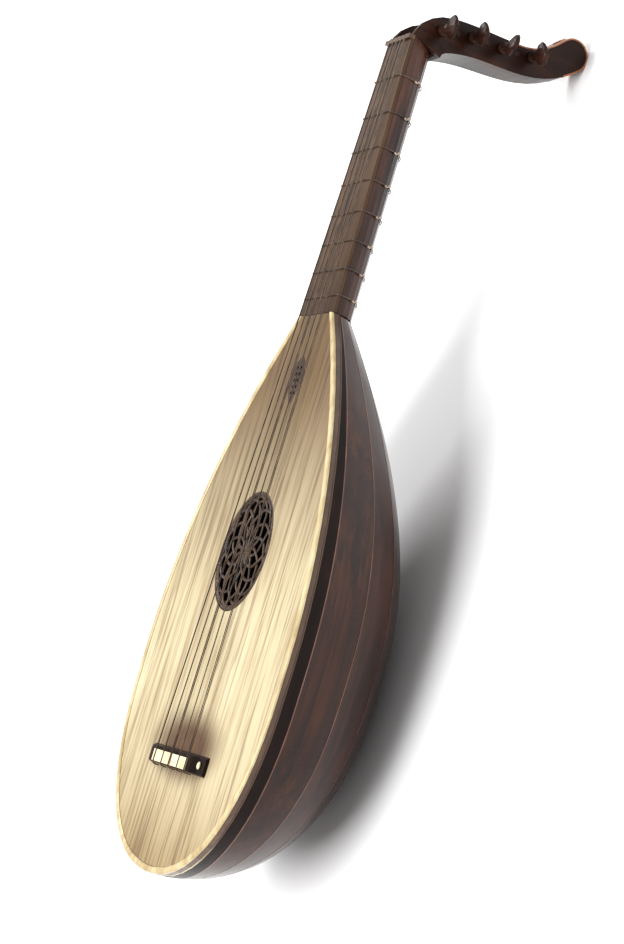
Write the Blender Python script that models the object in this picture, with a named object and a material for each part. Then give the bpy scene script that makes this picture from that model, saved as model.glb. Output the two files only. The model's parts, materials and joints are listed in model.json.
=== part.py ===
"""Long-necked lute with a pear-shaped ribbed bowl, seven strings in five courses and a curved pegbox.

Lute frame: X across the soundboard, Y along the strings towards the nut, Z out of the soundboard.
Y = 0 is the joint of neck and body and Z = 0 the soundboard's face. The whole lute hangs on one empty,
which tilts it until bowl and pegbox both rest on Z = 0 of the world.
"""
import bpy
import bmesh
import numpy as np
from mathutils import Vector
from mathutils.geometry import tessellate_polygon
from math import asin, atan2, ceil, cos, degrees, pi, sin, sqrt

MM = 0.001
GAP = 0.3 * MM

# Body
BODY_LENGTH = 470 * MM
BODY_HALF_WIDTH = 154 * MM
WIDEST_FROM_JOINT = 310 * MM
BOWL_DEPTH = 133 * MM
DEEPEST_FROM_JOINT = 285 * MM
TAIL_SQUARENESS = 2.2
SHOULDER_PULL = 203 * MM
SHOULDER_ANGLE = 0.716
WAIST_PULL = 28 * MM
HEEL_PULL = 200 * MM
HEEL_ANGLE = 0.597
BELLY_PULL = 54 * MM
RIB_COUNT = 9
RIB_THICKNESS = 2.0 * MM
RIB_FLATNESS = 0.5
BAND_HEIGHT = 17.5 * MM
BAND_HEIGHT_AT_NECK = 8.0 * MM
BAND_RISE = 250 * MM
RIB_END_ANGLE = 0.95
NORMAL_BLEND = 20 * MM
SOUNDBOARD_THICKNESS = 2.0 * MM
BINDING_WIDTH = 5.5 * MM
BINDING_CROWN = 1.5 * MM
BINDING_DEPTH = 1.0 * MM
STRIP_HEIGHT = 3.8 * MM
STRIP_LEDGE = 8.0 * MM
LINE_HEIGHT = 1.3 * MM
LINE_WIDTH = 3.0 * MM
ROSE_FROM_JOINT = 203 * MM
ROSE_RADIUS = 50.5 * MM
ROSE_RINGS = 12
ROSE_STRAND = 1.7 * MM
LEAF_FROM_JOINT = 57 * MM
LEAF_LENGTH = 42 * MM
LEAF_WIDTH = 25 * MM
BLOCK_LENGTH = 45 * MM
TAIL_BLOCK_LENGTH = 16 * MM
BLOCK_CLEARANCE = 1.5 * MM
BRACE_WIDTH = 5 * MM
BRACE_HEIGHT = 14 * MM
BRACE_STATIONS = [140 * MM, 268 * MM, 330 * MM]

# Neck
STRING_LENGTH = 611 * MM
FRET_COUNT = 8
LAST_FRET_TO_JOINT = 14.9 * MM
NECK_LENGTH = STRING_LENGTH * (1 - 2 ** (-FRET_COUNT / 12)) + LAST_FRET_TO_JOINT
NECK_HALF_WIDTH_AT_JOINT = 34.5 * MM
NECK_HALF_WIDTH_AT_NUT = 23.5 * MM
NECK_DEPTH = 28 * MM
FINGERBOARD_THICKNESS = 3 * MM
NUT_THICKNESS = 3.6 * MM
NUT_HEIGHT = 2.6 * MM
FRET_RADIUS = 0.5 * MM
FRET_CLEARANCE = 0.45 * MM

# Bridge and strings: X at the bridge, X at the nut, radius, peg that holds it
BRIDGE_HALF_LENGTH = 62 * MM
BRIDGE_WIDTH = 16 * MM
BRIDGE_HEIGHT = 6.2 * MM
BRIDGE_END_HEIGHT = 3.2 * MM
PLATE_LEFT = -41 * MM
PLATE_RIGHT = 33 * MM
PLATE_WIDTH = 9.6 * MM
PLATE_THICKNESS = 1.6 * MM
PIP_X = 53 * MM
PIP_RADIUS = 2.2 * MM
COURSE_AT_BRIDGE = 18 * MM
COURSE_AT_NUT = 7.5 * MM
PAIR_SPREAD = 1.5 * MM
COURSES = [[0.60 * MM], [0.50 * MM], [0.45 * MM, 0.45 * MM], [0.45 * MM], [0.40 * MM, 0.40 * MM]]
PEG_OF_STRING = [2, 4, 6, 7, 5, 3, 1]
WINDING_X = [-11.2 * MM, -9.2 * MM, -4.6 * MM, 2.2 * MM, 7.2 * MM, 10.2 * MM, 12.4 * MM]

# Pegbox: centreline and depth, in mm, as (beyond the nut's line, below the soundboard's face, depth)
PEGBOX_LINE = [(-2.5, -15.0, 30.0), (5.5, -18.6, 30.5), (12.0, -27.5, 30.0), (16.0, -43.0, 28.0),
               (18.3, -62.0, 26.0), (19.5, -85.0, 25.0), (21.3, -106.0, 24.5), (26.3, -124.0, 25.5),
               (34.5, -138.0, 27.5), (44.5, -149.5, 29.0)]
CHEEK_THICKNESS = 5 * MM
PEGBOX_HALF_WIDTH_AT_TIP = 12.5 * MM
PEGBOX_BACK_THICKNESS = 3.5 * MM
END_BLOCK_FROM_KNOT = 8
PEG_CENTRES = [(15.0, -25.0), (18.5, -39.5), (20.8, -54.0), (22.3, -68.5), (23.2, -83.0), (24.6, -97.5),
               (27.0, -112.0)]
PEG_SHAFT_RADIUS = 3.0 * MM
PEG_TAPER = 0.025
PEG_NECK = 8 * MM
PEG_BLADE = 18 * MM
PEG_BLADE_HALF_WIDTH = 10.5 * MM
PEG_BLADE_HALF_THICKNESS = 3.2 * MM
PEG_TURNS = [8, -20, 14, 30, -10, 5, 20]
WINDING_TURNS = 2.3
WINDING_PITCH = 1.7 * MM

COLOURS = {"spruce": (0.72, 0.60, 0.36), "cream": (0.82, 0.70, 0.44), "walnut": (0.10, 0.035, 0.02),
           "ebony": (0.02, 0.008, 0.006), "maple": (0.45, 0.33, 0.18), "fingerboard": (0.11, 0.06, 0.035),
           "bone": (0.80, 0.68, 0.42), "gut": (0.20, 0.13, 0.07), "pegbox": (0.05, 0.012, 0.006),
           "rose": (0.07, 0.04, 0.025), "brown": (0.22, 0.11, 0.045), "raw": (0.55, 0.42, 0.26)}

for old in list(bpy.data.objects):
    bpy.data.objects.remove(old, do_unlink=True)
PEG_AXES = [(NECK_LENGTH + y * MM, z * MM) for y, z in PEG_CENTRES]
frame = bpy.data.objects.new("lute_frame", None)
bpy.context.scene.collection.objects.link(frame)
materials = {}


def material(name):
    """One Principled material for each named colour."""
    if name not in materials:
        made = bpy.data.materials.new(name)
        made.use_nodes = True
        shader = made.node_tree.nodes["Principled BSDF"]
        shader.inputs["Base Color"].default_value = (*COLOURS[name], 1.0)
        shader.inputs["Roughness"].default_value = 0.45
        shader.inputs["Metallic"].default_value = 0.0
        materials[name] = made
    return materials[name]


def add_mesh(name, shells, finish, origin=(0, 0, 0)):
    """Make one object from shells of (points, faces); the points are in the lute frame."""
    bm = bmesh.new()
    for points, faces in shells:
        made = [bm.verts.new(Vector(p) - Vector(origin)) for p in points]
        for face in faces:
            bm.faces.new([made[i] for i in face])
    bmesh.ops.recalc_face_normals(bm, faces=bm.faces)
    bmesh.ops.triangulate(bm, faces=bm.faces)
    mesh = bpy.data.meshes.new(name)
    bm.to_mesh(mesh)
    bm.free()
    mesh.shade_smooth()
    mesh.set_sharp_from_angle(angle=0.6)
    mesh.materials.append(material(finish))
    obj = bpy.data.objects.new(name, mesh)
    bpy.context.scene.collection.objects.link(obj)
    obj.parent = frame
    obj.location = origin
    return obj


def loft(rings):
    """Points and faces of a solid through closed rings of equal length, capped at both ends."""
    n = len(rings[0])
    points = [p for ring in rings for p in ring]
    faces = []
    for k in range(len(rings) - 1):
        for i in range(n):
            j = (i + 1) % n
            faces.append((k * n + i, k * n + j, (k + 1) * n + j, (k + 1) * n + i))
    last = (len(rings) - 1) * n
    faces.append(tuple(range(n)))
    faces.append(tuple(range(last, last + n)))
    return points, faces


def pierced_plate(outline, holes, z_low, z_high):
    """A flat plate with holes, from 2-D loops: both faces are tessellated and every loop gets its wall."""
    loops = [outline] + holes
    flat = [[Vector((x, y, 0)) for x, y in loop] for loop in loops]
    triangles = tessellate_polygon(flat)
    base = [(x, y) for loop in loops for x, y in loop]
    count = len(base)
    points = [(x, y, z_low) for x, y in base] + [(x, y, z_high) for x, y in base]
    faces = [tuple(t) for t in triangles] + [tuple(i + count for i in t) for t in triangles]
    start = 0
    for loop in loops:
        n = len(loop)
        for i in range(n):
            a, b = start + i, start + (i + 1) % n
            faces.append((a, b, b + count, a + count))
        start += n
    return points, faces


def tube(path, radius, sides=6):
    """A round tube along a path of points, with its ends square to the path."""
    pts = np.array(path, float)
    tangents = np.gradient(pts, axis=0)
    tangents /= np.linalg.norm(tangents, axis=1)[:, None]
    side = np.cross(tangents[0], (0.31, 0.17, 0.93))
    rings = []
    for p, t in zip(pts, tangents):
        side = side - t * side.dot(t)
        side /= np.linalg.norm(side)
        other = np.cross(t, side)
        turn = [2 * pi * k / sides for k in range(sides)]
        rings.append([tuple(p + radius * (cos(a) * side + sin(a) * other)) for a in turn])
    return loft(rings)


def bezier(p0, p1, p2, p3, samples=200):
    """Points of a cubic Bezier curve."""
    t = np.linspace(0, 1, samples)[:, None]
    p0, p1, p2, p3 = (np.array(p) for p in (p0, p1, p2, p3))
    return (1 - t) ** 3 * p0 + 3 * t * (1 - t) ** 2 * p1 + 3 * t * t * (1 - t) * p2 + t ** 3 * p3


def pear(at_joint, angle, pull, top_pull, top, top_at):
    """Half a pear outline: a Bezier shoulder to the widest point, then a superellipse to the tail."""
    shoulder = bezier((0, at_joint), (pull * cos(angle), at_joint + pull * sin(angle)),
                      (top_at - top_pull, top), (top_at, top))

    def value(y, inset=0.0):
        s = -np.asarray(y, float)
        front = np.interp(s, shoulder[:, 0], shoulder[:, 1]) - inset
        reach = np.clip((s - top_at) / (BODY_LENGTH - inset - top_at), 0, 1)
        back = (top - inset) * (1 - reach ** TAIL_SQUARENESS) ** (1 / TAIL_SQUARENESS)
        return np.where(s <= top_at, front, back)
    return value


half_width = pear(NECK_HALF_WIDTH_AT_JOINT, SHOULDER_ANGLE, SHOULDER_PULL, WAIST_PULL,
                  BODY_HALF_WIDTH, WIDEST_FROM_JOINT)
depth = pear(NECK_DEPTH, HEEL_ANGLE, HEEL_PULL, BELLY_PULL, BOWL_DEPTH, DEEPEST_FROM_JOINT)


def neck_half_width(y):
    """The neck's half width at a place along it."""
    return NECK_HALF_WIDTH_AT_JOINT + (NECK_HALF_WIDTH_AT_NUT - NECK_HALF_WIDTH_AT_JOINT) * y / NECK_LENGTH


def bowl_point(y, angle):
    """Point of the bowl's outer surface, at an ellipse angle below the +X edge."""
    return np.array([half_width(y) * cos(angle), y, -depth(y) * sin(angle)])


def bowl_normal(p):
    """Unit normal out of the bowl at a point, from the gradient of its ellipse equation."""
    def level(q):
        return (q[0] / half_width(q[1])) ** 2 + (q[2] / depth(q[1])) ** 2
    step = 0.05 * MM
    g = np.array([level(p + step * e) - level(p - step * e) for e in np.eye(3)])
    return g / np.linalg.norm(g)


def band_height(y):
    """Depth of the rim band's lower edge: it rises from the neck like a quarter sine wave."""
    return BAND_HEIGHT_AT_NECK + (BAND_HEIGHT - BAND_HEIGHT_AT_NECK) * sin(pi / 2 * min(1, -y / BAND_RISE))


def rib_end():
    """Place near the tail where the band's lower edge has climbed to RIB_END_ANGLE."""
    low, high = -BODY_LENGTH, -BODY_LENGTH * 0.8
    for _ in range(60):
        mid = (low + high) / 2
        if depth(mid) * sin(RIB_END_ANGLE) < BAND_HEIGHT:
            low = mid
        else:
            high = mid
    return high


RIB_END = rib_end()
BOARD_BOTTOM = -SOUNDBOARD_THICKNESS
STRIP_TOP = BOARD_BOTTOM - GAP
STRIP_BOTTOM = -BINDING_DEPTH - GAP - STRIP_HEIGHT
LINE_TOP = STRIP_BOTTOM - GAP
LINE_BOTTOM = LINE_TOP - LINE_HEIGHT
BAND_TOP = LINE_BOTTOM - GAP


def stations(count, start, end):
    """Places along the body from the joint to the tail, closer together where the tail turns in."""
    middle = -WIDEST_FROM_JOINT
    first = [start + (middle - start) * k / (count // 2) for k in range(count // 2)]
    rest = count - count // 2
    full = asin(min(1.0, (middle - end) / (BODY_LENGTH - WIDEST_FROM_JOINT)))
    return first + [middle - (BODY_LENGTH - WIDEST_FROM_JOINT) * sin(full * k / rest) for k in range(rest + 1)]


def edge_angle(y):
    """Ellipse angle of the rim band's lower edge."""
    return asin(min(1.0, band_height(y) / float(depth(y))))


def rib_line(y, k):
    """Ellipse angle of the joint line k of the ribs, 0 at the +X band."""
    return edge_angle(y) + k * (pi - 2 * edge_angle(y)) / RIB_COUNT


def arc_to_angle(y, angle, length):
    """Change of ellipse angle for a length along the surface."""
    return length / sqrt((half_width(y) * sin(angle)) ** 2 + (depth(y) * cos(angle)) ** 2)


def shell_ring(outer):
    """Closed section of a shell: the outer points, then the same points one rib thickness inside."""
    inner = [p - RIB_THICKNESS * bowl_normal(p) for p in outer]
    return [tuple(p) for p in outer] + [tuple(p) for p in reversed(inner)]


def rim_normal(y):
    """Unit normal in plan of the +X rim, turned square to the neck over the first stretch."""
    step = 0.1 * MM
    if y < step - BODY_LENGTH:
        return np.array([0.0, -1.0])
    slope = float(half_width(y + step) - half_width(y - step)) / (2 * step)
    n = np.array([1.0, -slope])
    n[1] *= min(1.0, -y / NORMAL_BLEND)
    return n / np.linalg.norm(n)


def surface_inset(p, n, z):
    """How far inside the rim the bowl's surface lies at a depth z."""
    low, high = 0.0, 60 * MM
    for _ in range(40):
        mid = (low + high) / 2
        q = p - mid * n
        y = min(float(q[1]), 0.0)
        if (q[0] / max(float(half_width(y)), 1e-6)) ** 2 + (z / max(float(depth(y)), 1e-6)) ** 2 > 1:
            low = mid
        else:
            high = mid
    return high


def under_rim(p, n):
    """Point where the rim band's lower edge passes under a point of the rim."""
    z = -band_height(p[1])
    for _ in range(4):
        q = p - surface_inset(p, n, z) * n
        z = -band_height(min(-GAP, float(q[1])))
    return np.array([q[0], min(-GAP, float(q[1])), z])


def rim_places(count=28):
    """Places along the +X rim, one of them right over the corner where the ribs end."""
    places = stations(count, 0.0, -BODY_LENGTH)
    low, high = -BODY_LENGTH, -WIDEST_FROM_JOINT
    for _ in range(40):
        corner = (low + high) / 2
        if under_rim(np.array([float(half_width(corner)), corner]), rim_normal(corner))[1] < RIB_END:
            low = corner
        else:
            high = corner
    nearest = min(range(1, len(places) - 1), key=lambda i: abs(places[i] - corner))
    places[nearest] = corner
    return places, nearest


def rim_path():
    """Points and plan normals round the rim, from the +X corner by the tail to the -X corner."""
    places, corner = rim_places()
    path = [np.array([float(half_width(y)), y]) for y in places]
    path[-1][0] = 0.0
    normals = [rim_normal(y) for y in places]
    flip = np.array([-1.0, 1.0])
    return (path + [p * flip for p in reversed(path[:-1])], normals + [n * flip for n in reversed(normals[:-1])],
            corner)


RIM, RIM_NORMALS, RIM_CORNER = rim_path()
RIB_PLACES = [float(under_rim(p, n)[1]) for p, n in zip(RIM[:RIM_CORNER], RIM_NORMALS)] + [RIB_END + GAP]


def build_ribs():
    """Nine bent ribs, each flattened across, edge to edge with a glue gap between them."""
    for k in range(RIB_COUNT):
        rings = []
        for y in RIB_PLACES:
            a = rib_line(y, k)
            b = rib_line(y, k + 1)
            a += arc_to_angle(y, a, GAP / 2)
            b -= arc_to_angle(y, b, GAP / 2)
            left, right = bowl_point(y, a), bowl_point(y, b)
            middle = bowl_point(y, (a + b) / 2)
            middle = middle + RIB_FLATNESS * ((left + right) / 2 - middle)
            rings.append(shell_ring([left, middle, right]))
        add_mesh(f"rib_{k + 1}", [loft(rings)], "walnut")


def sweep_rim(section):
    """Sweep a section of (inset, z) points round the rim."""
    rings = []
    for p, n in zip(RIM, RIM_NORMALS):
        rings.append([(p[0] - r * n[0], p[1] - r * n[1] - (GAP if p[1] > -GAP else 0), z) for r, z in section])
    return loft(rings)


def build_rim():
    """Binding, brown strip and pale line at the board's edge, and the dark band above the ribs."""
    w, top = BINDING_WIDTH, BINDING_CROWN
    bead = [(0, -BINDING_DEPTH), (0, 0.3 * top), (0.15 * w, 0.8 * top), (0.5 * w, top),
            (0.85 * w, 0.8 * top), (w, 0.3 * top), (w, -BINDING_DEPTH)]
    add_mesh("edge_binding", [sweep_rim(bead)], "cream")
    strip_edge = -BINDING_DEPTH - GAP
    strip = [(0, STRIP_BOTTOM), (0, strip_edge), (w, strip_edge), (w, STRIP_TOP),
             (STRIP_LEDGE, STRIP_TOP), (STRIP_LEDGE, STRIP_BOTTOM)]
    add_mesh("edge_strip", [sweep_rim(strip)], "brown")
    line = [(0, LINE_BOTTOM), (0, LINE_TOP), (LINE_WIDTH, LINE_TOP), (LINE_WIDTH, LINE_BOTTOM)]
    add_mesh("edge_line", [sweep_rim(line)], "cream")
    rings = []
    for p, n in zip(RIM, RIM_NORMALS):
        edge = under_rim(p, n)
        z = edge[2] + GAP / 2
        if edge[1] < RIB_END - GAP:
            q = p - (RIB_END - GAP - p[1]) / -n[1] * n
            reach = 1 - (q[0] / float(half_width(q[1]))) ** 2
            z = -float(depth(q[1])) * sqrt(max(reach, 0.0))
        outer = []
        for share in (0.0, 0.5, 1.0):
            level = BAND_TOP + share * (z - BAND_TOP)
            q = p - surface_inset(p, n, level) * n
            outer.append(np.array([q[0], min(float(q[1]), -GAP), level]))
        inner = [q - RIB_THICKNESS * bowl_normal(q) for q in outer]
        inner = [(q[0], min(q[1], -GAP), min(q[2], BAND_TOP)) for q in inner]
        rings.append([tuple(q) for q in outer] + inner[::-1])
    add_mesh("rim_band", [loft(rings)], "ebony")


def half_ellipse_ring(y, inset, top, count=12):
    """Half-ellipse section of the bowl's inside, flat on top."""
    w, d = float(half_width(y, inset)), float(depth(y, inset))
    start = asin(min(0.95, -top / d))
    angles = [start + (pi - 2 * start) * k / count for k in range(count + 1)]
    return [(w * cos(a), y, -d * sin(a)) for a in angles]


def build_blocks():
    """Neck block and tail block, glued inside the bowl, and the braces under the soundboard."""
    inset = RIB_THICKNESS + BLOCK_CLEARANCE
    top = min(STRIP_BOTTOM, LINE_BOTTOM) - GAP
    rings = [half_ellipse_ring(-GAP - BLOCK_LENGTH * k / 4, inset, top) for k in range(5)]
    add_mesh("neck_block", [loft(rings)], "raw")
    back = BODY_LENGTH - inset - 4 * MM
    rings = [half_ellipse_ring(-back + TAIL_BLOCK_LENGTH * k / 4, inset, top) for k in range(5)]
    add_mesh("tail_block", [loft(rings)], "raw")
    for number, s in enumerate(BRACE_STATIONS):
        reach = float(half_width(-s)) - STRIP_LEDGE - 6 * MM
        z = STRIP_TOP
        section = [(-reach, z), (reach, z), (reach, z - BRACE_HEIGHT * 0.4), (reach - 20 * MM, z - BRACE_HEIGHT),
                   (20 * MM - reach, z - BRACE_HEIGHT), (-reach, z - BRACE_HEIGHT * 0.4)]
        bar = loft([[(x, -s + shift, h) for x, h in section] for shift in (-BRACE_WIDTH / 2, BRACE_WIDTH / 2)])
        add_mesh(f"brace_{number + 1}", [bar], "raw")


def circle(cx, cy, radius, count):
    """A round loop in the plane."""
    return [(cx + radius * cos(2 * pi * k / count), cy + radius * sin(2 * pi * k / count)) for k in range(count)]


def leaf(inset, count=7):
    """The small sound hole: a pointed leaf with its tip towards the neck."""
    half = LEAF_WIDTH / 2 - inset
    tip = LEAF_LENGTH / 2 - 1.6 * inset
    t = [k / count for k in range(count + 1)]
    right = [(half * sin(pi * s ** 0.8) ** 0.8 if 0 < s < 1 else 0.0, tip - 2 * tip * s) for s in t]
    loop = right + [(-x, y) for x, y in reversed(right[1:-1])]
    return [(x, y - LEAF_FROM_JOINT) for x, y in loop]


def rose_holes():
    """Openings of a rose of interlaced rings.

    ROSE_RINGS equal rings pass round the centre at half the rose's radius. Rings m steps apart cross at
    r = R/2 (cos u + sqrt(q - sin^2 u)), u = m * half a step, so every opening is a four-sided cell between
    crossings of orders m-1, m and m+1, drawn in by half a strand.
    """
    cells = []
    offset = 0.44 * ROSE_RADIUS
    ring = 0.47 * ROSE_RADIUS
    step = 2 * pi / ROSE_RINGS

    def crossing(m, sign):
        u = m * step / 2
        root = ring ** 2 - (offset * sin(u)) ** 2
        return offset * cos(u) + sign * sqrt(max(root, 0.0))

    for sign, orders in ((1, range(1, ROSE_RINGS // 2)), (-1, range(ROSE_RINGS // 2 + 1, ROSE_RINGS - 1))):
        for m in orders:
            for k in range(ROSE_RINGS):
                centre = (k + (m % 2) / 2) * step
                inner, outer = crossing(m + 1, sign), crossing(m - 1, sign)
                middle = crossing(m, sign)
                if sign < 0:
                    continue
                corners = [(outer, centre), (middle, centre + step / 2), (inner, centre), (middle, centre - step / 2)]
                cells.append([(r * cos(a), r * sin(a)) for r, a in corners])
    holes = []
    for cell in cells:
        pts = np.array(cell)
        mid = pts.mean(axis=0)
        size = np.linalg.norm(pts - mid, axis=1).min()
        if size < 2.2 * ROSE_STRAND:
            continue
        shrink = 1 - ROSE_STRAND * 1.1 / size
        holes.append([tuple(mid + shrink * (p - mid) + np.array([0, -ROSE_FROM_JOINT])) for p in pts])
    return holes


def build_board():
    """Soundboard with its two sound holes, and the pierced rose and leaf let into them."""
    inset = BINDING_WIDTH + GAP
    outline = [(p[0] - inset * n[0], p[1] - inset * n[1] - (GAP if p[1] > -GAP else 0))
               for p, n in zip(RIM, RIM_NORMALS)]
    round_hole = circle(0, -ROSE_FROM_JOINT, ROSE_RADIUS + GAP, 48)
    board = pierced_plate(outline, [round_hole, leaf(-GAP)], BOARD_BOTTOM, 0.0)
    add_mesh("soundboard", [board], "spruce")
    rose = pierced_plate(circle(0, -ROSE_FROM_JOINT, ROSE_RADIUS, 48), rose_holes(), BOARD_BOTTOM, 0.0)
    add_mesh("rose", [rose], "rose")
    slots = []
    for k in range(-2, 3):
        for side in (-1, 1):
            x, y = side * 3.4 * MM, k * 5.4 * MM - LEAF_FROM_JOINT
            reach = 2.0 * MM
            slots.append([(x + reach, y), (x, y + reach), (x - reach, y), (x, y - reach)])
    add_mesh("leaf_rose", [pierced_plate(leaf(0.0), slots, BOARD_BOTTOM, 0.0)], "rose")


def neck_ring(y, top, slant):
    """D section of the neck; slant moves a point along Y by its depth below the top."""
    w = float(neck_half_width(y))
    angles = [pi * k / 12 for k in range(13)]
    ring = [(w, y + slant(top), top)]
    for a in angles:
        z = top - (NECK_DEPTH + top) * sin(a)
        ring.append((w * cos(a), y + slant(z), min(z, top - 0.01 * MM)))
    ring.append((-w, y + slant(top), top))
    return ring


def build_neck():
    """Neck, fingerboard and nut. The neck's end slants back to seat the pegbox."""
    top = -FINGERBOARD_THICKNESS - GAP
    y0, z0 = NECK_LENGTH + PEGBOX_LINE[0][0] * MM, PEGBOX_LINE[0][1] * MM
    lean = pegbox_frames()[0][1]

    def end_slant(z):
        return -(z - top) * lean[1] / lean[0]
    end = y0 - (top - z0) * lean[1] / lean[0] - GAP / lean[0]
    rings = [neck_ring(y, top, lambda z: 0.0) for y in (GAP, 0.25 * NECK_LENGTH, 0.5 * NECK_LENGTH,
                                                       0.75 * NECK_LENGTH, 0.92 * NECK_LENGTH)]
    rings.append(neck_ring(end, top, end_slant))
    add_mesh("neck", [loft(rings)], "walnut")
    nut_back = NECK_LENGTH - NUT_THICKNESS / 2
    rings = []
    for y in (GAP, nut_back - GAP):
        w = float(neck_half_width(y))
        rings.append([(w, y, -FINGERBOARD_THICKNESS), (w, y, 0), (-w, y, 0), (-w, y, -FINGERBOARD_THICKNESS)])
    add_mesh("fingerboard", [loft(rings)], "fingerboard")
    w = float(neck_half_width(NECK_LENGTH))
    profile = [(-w, -FINGERBOARD_THICKNESS), (-w, NUT_HEIGHT)]
    for x, radius in [(s["nut"][0], s["radius"]) for s in STRINGS]:
        notch = radius + GAP
        floor = STRING_AT_NUT - radius - GAP
        profile += [(x - notch, NUT_HEIGHT), (x - notch, floor), (x + notch, floor), (x + notch, NUT_HEIGHT)]
    profile += [(w, NUT_HEIGHT), (w, -FINGERBOARD_THICKNESS)]
    add_mesh("nut", [loft([[(x, y, z) for x, z in profile]
                           for y in (nut_back, nut_back + NUT_THICKNESS)])], "brown")


def build_frets():
    """Eight gut frets tied round the neck, at equal-tempered places from the nut."""
    for n in range(1, FRET_COUNT + 1):
        y = NECK_LENGTH - STRING_LENGTH * (1 - 2 ** (-n / 12))
        w = float(neck_half_width(y)) + FRET_CLEARANCE + FRET_RADIUS
        d = NECK_DEPTH + FRET_CLEARANCE + FRET_RADIUS
        high = FRET_CLEARANCE + FRET_RADIUS
        low = -FINGERBOARD_THICKNESS
        path = [(0, high), (0.5 * w, high), (w - 1.0 * MM, high), (w, high - 1.0 * MM), (w, low)]
        path += [(w * cos(a), low - (d + low) * sin(a)) for a in [pi * k / 16 for k in range(1, 16)]]
        path += [(-w, low), (-w, high - 1.0 * MM), (-w + 1.0 * MM, high), (-0.5 * w, high)]
        count = len(path)
        rings = []
        for i, (x, z) in enumerate(path):
            ahead, behind = path[(i + 1) % count], path[i - 1]
            t = np.array([ahead[0] - behind[0], ahead[1] - behind[1]])
            t /= np.linalg.norm(t)
            out = np.array([-t[1], t[0]])
            turn = [2 * pi * k / 6 for k in range(6)]
            rings.append([(x + FRET_RADIUS * cos(a) * out[0], y + FRET_RADIUS * sin(a),
                           z + FRET_RADIUS * cos(a) * out[1]) for a in turn])
        points, faces = loft(rings)
        faces = faces[:-2]
        last = (count - 1) * 6
        faces += [(last + i, last + (i + 1) % 6, (i + 1) % 6, i) for i in range(6)]
        add_mesh(f"fret_{n}", [(points, faces)], "gut", (0, y, 0))


def pegbox_frames(per_span=2):
    """Centreline points of the pegbox with unit tangents, front normals and depths, by a smooth spline."""
    knots = np.array(PEGBOX_LINE)
    padded = np.vstack([2 * knots[0] - knots[1], knots, 2 * knots[-1] - knots[-2]])
    out = []
    for k in range(len(knots) - 1):
        p0, p1, p2, p3 = padded[k:k + 4]
        for s in range(per_span):
            t = s / per_span
            out.append(0.5 * (2 * p1 + (p2 - p0) * t + (2 * p0 - 5 * p1 + 4 * p2 - p3) * t ** 2
                              + (3 * p1 - p0 - 3 * p2 + p3) * t ** 3))
    out.append(knots[-1])
    line = np.array(out) * MM + np.array([NECK_LENGTH, 0, 0])
    tangent = np.gradient(line[:, :2], axis=0)
    tangent /= np.linalg.norm(tangent, axis=1)[:, None]
    radius = line[-1, 2] / 2
    frames = [(p[:2], t, np.array([-t[1], t[0]]), p[2]) for p, t in zip(line, tangent)]
    for k in range(1, 6):
        turn = pi / 2 * k / 5.6
        frames.append((line[-1, :2] + tangent[-1] * radius * sin(turn), tangent[-1],
                       frames[len(line) - 1][2], 2 * radius * cos(turn)))
    return frames


def pegbox_half_width(share):
    """Outer half width of the pegbox at a share of its length."""
    return NECK_HALF_WIDTH_AT_NUT + (PEGBOX_HALF_WIDTH_AT_TIP - NECK_HALF_WIDTH_AT_NUT) * share


def build_pegbox():
    """Two cheeks with peg holes, a bent back between them and a rounded end block."""
    frames = pegbox_frames()
    along = [0.0]
    for a, b in zip(frames, frames[1:]):
        along.append(along[-1] + float(np.linalg.norm(b[0] - a[0])))
    share = [s / along[-1] for s in along]

    def ring(i, x_low, x_high, low, high):
        p, _, n, _ = frames[i]
        a, b = p + low * n, p + high * n
        return [(x_low, a[0], a[1]), (x_high, a[0], a[1]), (x_high, b[0], b[1]), (x_low, b[0], b[1])]

    for name, side in (("pegbox_cheek_right", 1), ("pegbox_cheek_left", -1)):
        rings = []
        for i, (_, _, _, d) in enumerate(frames):
            outer = pegbox_half_width(share[i])
            rings.append(ring(i, side * (outer - CHEEK_THICKNESS), side * outer, -d / 2, d / 2))
        cheek = add_mesh(name, [loft(rings)], "pegbox")
        cutters = []
        for k, (y, z) in enumerate(PEG_AXES):
            x = side * pegbox_half_width(0.5)
            hole = peg_radius(k, x) + GAP
            cutters.append(loft([[(x + dx, y + hole * cos(a), z + hole * sin(a))
                                  for a in [2 * pi * j / 12 for j in range(12)]] for dx in (-20 * MM, 20 * MM)]))
        cutter = add_mesh(name + "_holes", cutters, "pegbox")
        cutter.hide_render = True
        cutter.display_type = "WIRE"
        cut = cheek.modifiers.new("peg_holes", "BOOLEAN")
        cut.object = cutter
        cut.solver = "EXACT"
    first_end = int(END_BLOCK_FROM_KNOT * 2)
    rings = []
    for i in range(first_end + 1):
        inner = pegbox_half_width(share[i]) - CHEEK_THICKNESS - GAP
        d = frames[i][3]
        rings.append(ring(i, -inner, inner, -d / 2, -d / 2 + PEGBOX_BACK_THICKNESS))
    add_mesh("pegbox_back", [loft(rings)], "pegbox")
    rings = []
    for i in range(first_end, len(frames)):
        inner = pegbox_half_width(share[i]) - CHEEK_THICKNESS - GAP
        d = frames[i][3]
        rings.append(ring(i, -inner, inner, -d / 2, d / 2))
    shift = frames[first_end][1] * GAP
    rings[0] = [(x, y + shift[0], z + shift[1]) for x, y, z in rings[0]]
    add_mesh("pegbox_end_block", [loft(rings)], "pegbox")


def peg_side(k):
    """+1 where the head of peg k is on the +X side."""
    return 1 if k % 2 == 0 else -1


def peg_radius(k, x):
    """Radius of peg k's tapered shaft at a place across the pegbox."""
    return PEG_SHAFT_RADIUS + PEG_TAPER * x * peg_side(k)


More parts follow.
